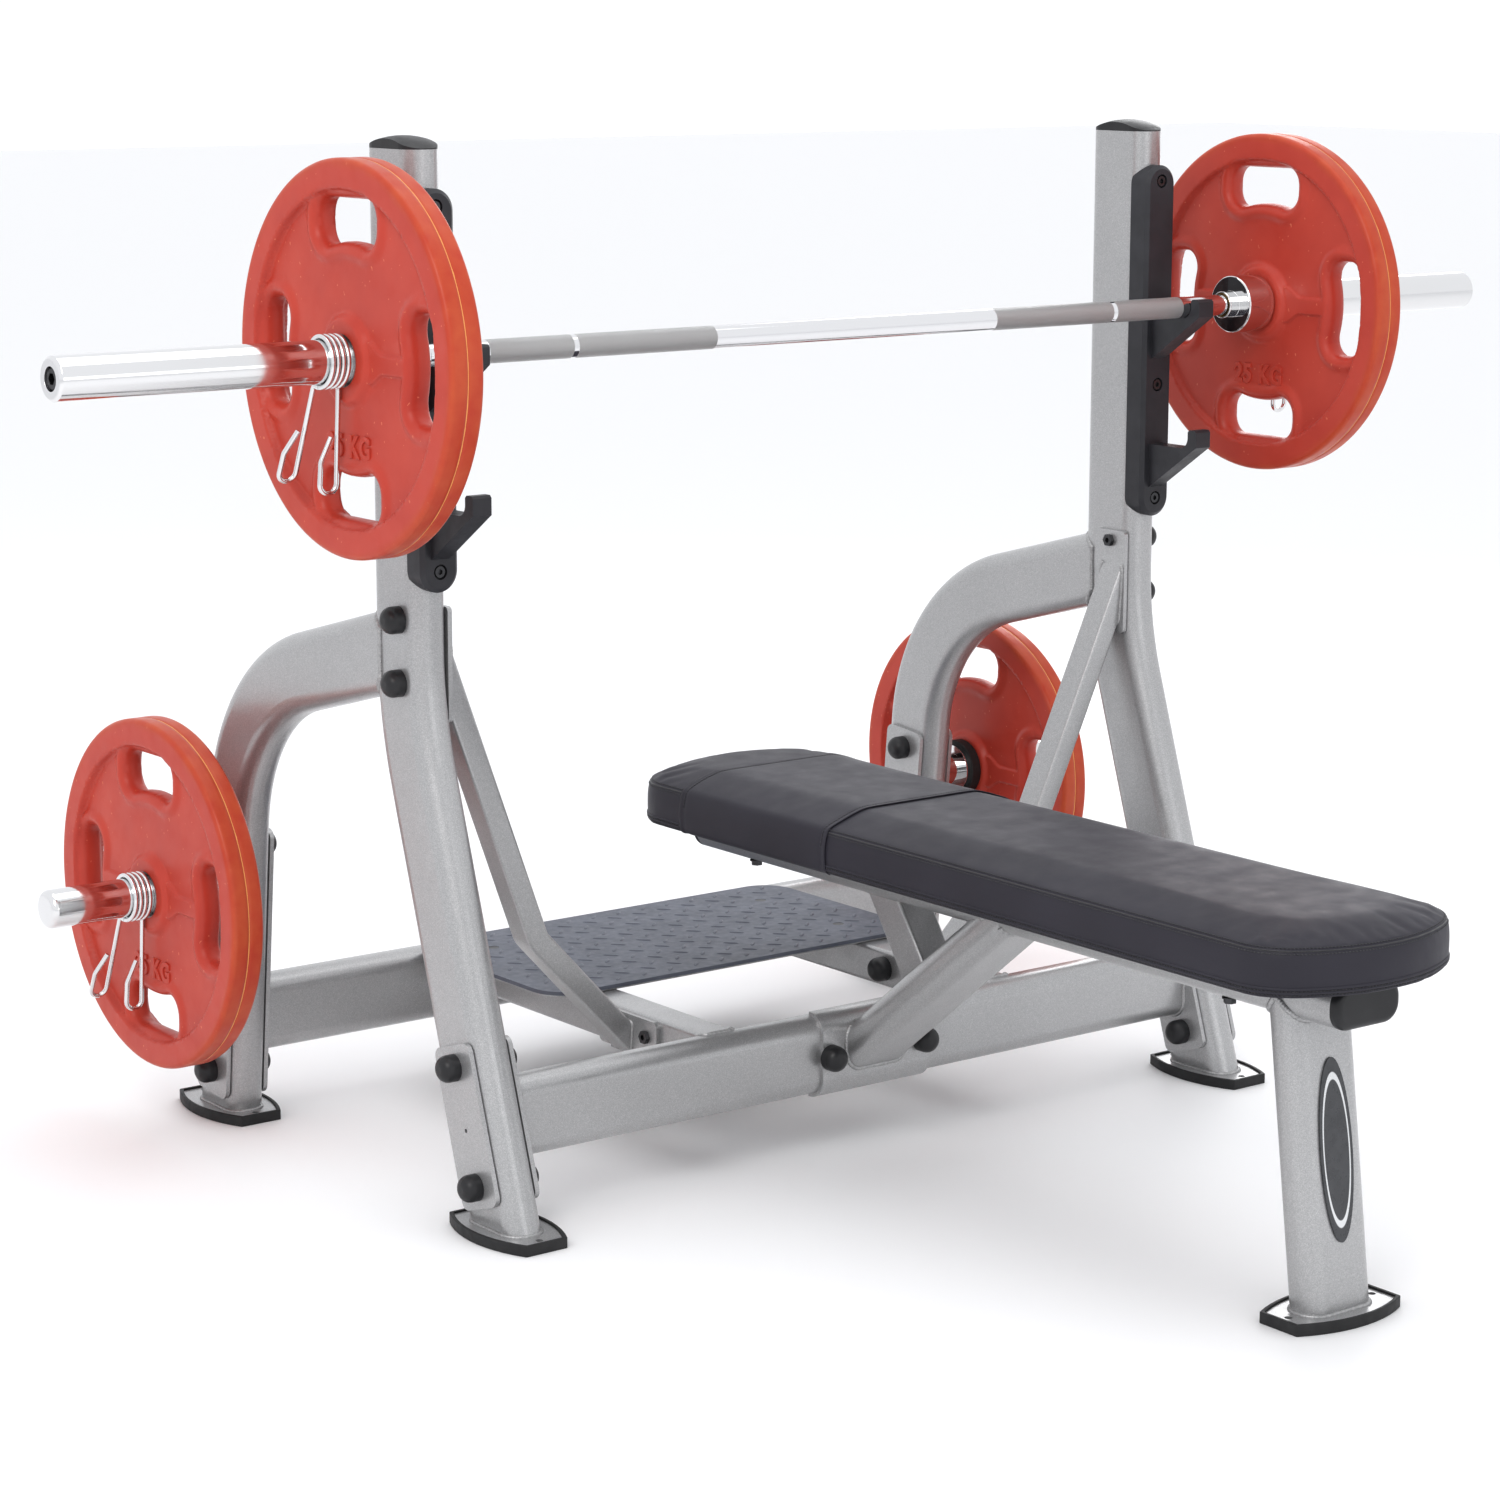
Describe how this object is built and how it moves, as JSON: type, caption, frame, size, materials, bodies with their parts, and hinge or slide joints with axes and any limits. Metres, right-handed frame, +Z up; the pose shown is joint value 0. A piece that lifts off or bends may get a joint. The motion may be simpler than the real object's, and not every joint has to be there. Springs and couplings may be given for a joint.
{
  "type": "olympic bench press",
  "caption": "Flat olympic bench press with a racked barbell, rubber weight plates, spring collars, rear plate storage pegs and a spotter platform.",
  "frame": {"origin": "centre of the bounding box's footprint, on the floor", "axes": "+X along the barbell to the lifter's right as they stand at the foot end facing the rack, +Y from the foot end of the bench to the rack's storage side, +Z up"},
  "size_m": [2.2, 1.6999, 1.281],
  "materials": {
    "silver_paint": "silver-grey metallic powder coat, semi gloss",
    "pad_vinyl": "dark charcoal smooth upholstery vinyl, satin",
    "board_wood": "painted plywood, matte",
    "black_cap": "black moulded plastic, satin",
    "hook_plastic": "black moulded nylon, matte",
    "boot_rubber": "black moulded rubber, matte",
    "tread_rubber": "slate grey ribbed rubber, matte",
    "plate_rubber": "red moulded rubber, satin",
    "core_iron": "raw casting",
    "ring_steel": "turned steel",
    "bar_chrome": "hard chrome, knurled grip zones",
    "sleeve_chrome": "polished chrome",
    "spring_chrome": "chromed spring wire",
    "peg_steel": "satin steel and silver paint",
    "bush_bronze": "sintered bronze",
    "bolt_steel": "black oxide",
    "nut_steel": "zinc plated",
    "badge_plate": "blank silver badge"
  },
  "bodies": {
    "frame": {"bench_post": "silver_paint", "bench_strut": "silver_paint", "bolt_caps": "black_cap", "brace_left": "silver_paint", "brace_right": "silver_paint", "foot_boots": "boot_rubber", "frame_bolts": "bolt_steel", "frame_nuts": "nut_steel", "front_crossbar": "silver_paint", "front_leg": "silver_paint", "hook_nuts": "nut_steel", "hook_screws": "bolt_steel", "hook_strip_left": "hook_plastic", "hook_strip_right": "hook_plastic", "leg_badge": "badge_plate", "pad_board": "board_wood", "pad_bolts": "bolt_steel", "pad_cushion": "pad_vinyl", "peg_bumpers": "boot_rubber", "peg_end_caps": "peg_steel", "platform_deck": "silver_paint", "platform_rails": "silver_paint", "platform_screws": "bolt_steel", "rear_crossbar": "silver_paint", "rear_leg_left": "silver_paint", "rear_leg_right": "silver_paint", "side_plates": "silver_paint", "spine_caps": "black_cap", "spine_tube": "silver_paint", "storage_peg_left": "peg_steel", "storage_peg_right": "peg_steel", "tread_mat": "tread_rubber", "upright_caps": "black_cap", "upright_left": "silver_paint", "upright_right": "silver_paint"},
    "barbell": {"bar_shaft": "bar_chrome", "bar_bushings": "bush_bronze", "bar_end_bolts": "bolt_steel"},
    "sleeve_right": {"bar_sleeve_right": "sleeve_chrome"},
    "bar_plate_right": {"bar_plate_coat_right": "plate_rubber", "bar_plate_core_right": "core_iron", "bar_plate_ring_right": "ring_steel"},
    "bar_collar_right": {"bar_collar_spring_right": "spring_chrome"},
    "bar_collar_handle_right": {"bar_collar_grip_right": "spring_chrome"},
    "stored_plate_right": {"stored_plate_coat_right": "plate_rubber", "stored_plate_core_right": "core_iron", "stored_plate_ring_right": "ring_steel"},
    "stored_collar_right": {"stored_collar_spring_right": "spring_chrome"},
    "stored_collar_handle_right": {"stored_collar_grip_right": "spring_chrome"},
    "sleeve_left": {"bar_sleeve_left": "sleeve_chrome"},
    "bar_plate_left": {"bar_plate_coat_left": "plate_rubber", "bar_plate_core_left": "core_iron", "bar_plate_ring_left": "ring_steel"},
    "bar_collar_left": {"bar_collar_spring_left": "spring_chrome"},
    "bar_collar_handle_left": {"bar_collar_grip_left": "spring_chrome"},
    "stored_plate_left": {"stored_plate_coat_left": "plate_rubber", "stored_plate_core_left": "core_iron", "stored_plate_ring_left": "ring_steel"},
    "stored_collar_left": {"stored_collar_spring_left": "spring_chrome"},
    "stored_collar_handle_left": {"stored_collar_grip_left": "spring_chrome"}
  },
  "joints": [
    {"name": "barbell_lift", "type": "slide", "parent": "frame", "child": "barbell", "axis": [0, 0, 1], "range_m": [0, 0.3]},
    {"name": "sleeve_right_spin", "type": "hinge", "parent": "barbell", "child": "sleeve_right", "pos_m": [0.87, 0.071, 1.038], "axis": [1, 0, 0], "continuous": true},
    {"name": "bar_plate_right_slide", "type": "slide", "parent": "sleeve_right", "child": "bar_plate_right", "axis": [1, 0, 0], "range_m": [0, 0.42]},
    {"name": "bar_collar_right_slide", "type": "slide", "parent": "bar_plate_right", "child": "bar_collar_right", "axis": [1, 0, 0], "range_m": [0, 0.38]},
    {"name": "bar_collar_right_squeeze", "type": "hinge", "parent": "bar_collar_right", "child": "bar_collar_handle_right", "pos_m": [0.772, 0.071, 1.038], "axis": [1, 0, 0], "range_deg": [-17, 0], "stiffness_Nm_per_rad": 5, "springref_deg": 5.73, "deforming": ["bar_collar_spring_right"]},
    {"name": "stored_plate_right_slide", "type": "slide", "parent": "frame", "child": "stored_plate_right", "axis": [1, 0, 0], "range_m": [0, 0.2]},
    {"name": "stored_collar_right_slide", "type": "slide", "parent": "stored_plate_right", "child": "stored_collar_right", "axis": [1, 0, 0], "range_m": [0, 0.16]},
    {"name": "stored_collar_right_squeeze", "type": "hinge", "parent": "stored_collar_right", "child": "stored_collar_handle_right", "pos_m": [0.74, 0.62502, 0.315], "axis": [1, 0, 0], "range_deg": [-17, 0], "stiffness_Nm_per_rad": 5, "springref_deg": 5.73, "deforming": ["stored_collar_spring_right"]},
    {"name": "sleeve_left_spin", "type": "hinge", "parent": "barbell", "child": "sleeve_left", "pos_m": [-0.87, 0.071, 1.038], "axis": [1, 0, 0], "continuous": true},
    {"name": "bar_plate_left_slide", "type": "slide", "parent": "sleeve_left", "child": "bar_plate_left", "axis": [-1, 0, 0], "range_m": [0, 0.42]},
    {"name": "bar_collar_left_slide", "type": "slide", "parent": "bar_plate_left", "child": "bar_collar_left", "axis": [-1, 0, 0], "range_m": [0, 0.38]},
    {"name": "bar_collar_left_squeeze", "type": "hinge", "parent": "bar_collar_left", "child": "bar_collar_handle_left", "pos_m": [-0.772, 0.071, 1.038], "axis": [1, 0, 0], "range_deg": [-17, 0], "stiffness_Nm_per_rad": 5, "springref_deg": 5.73, "deforming": ["bar_collar_spring_left"]},
    {"name": "stored_plate_left_slide", "type": "slide", "parent": "frame", "child": "stored_plate_left", "axis": [-1, 0, 0], "range_m": [0, 0.2]},
    {"name": "stored_collar_left_slide", "type": "slide", "parent": "stored_plate_left", "child": "stored_collar_left", "axis": [-1, 0, 0], "range_m": [0, 0.16]},
    {"name": "stored_collar_left_squeeze", "type": "hinge", "parent": "stored_collar_left", "child": "stored_collar_handle_left", "pos_m": [-0.74, 0.62502, 0.315], "axis": [1, 0, 0], "range_deg": [-17, 0], "stiffness_Nm_per_rad": 5, "springref_deg": 5.73, "deforming": ["stored_collar_spring_left"]}
  ]
}
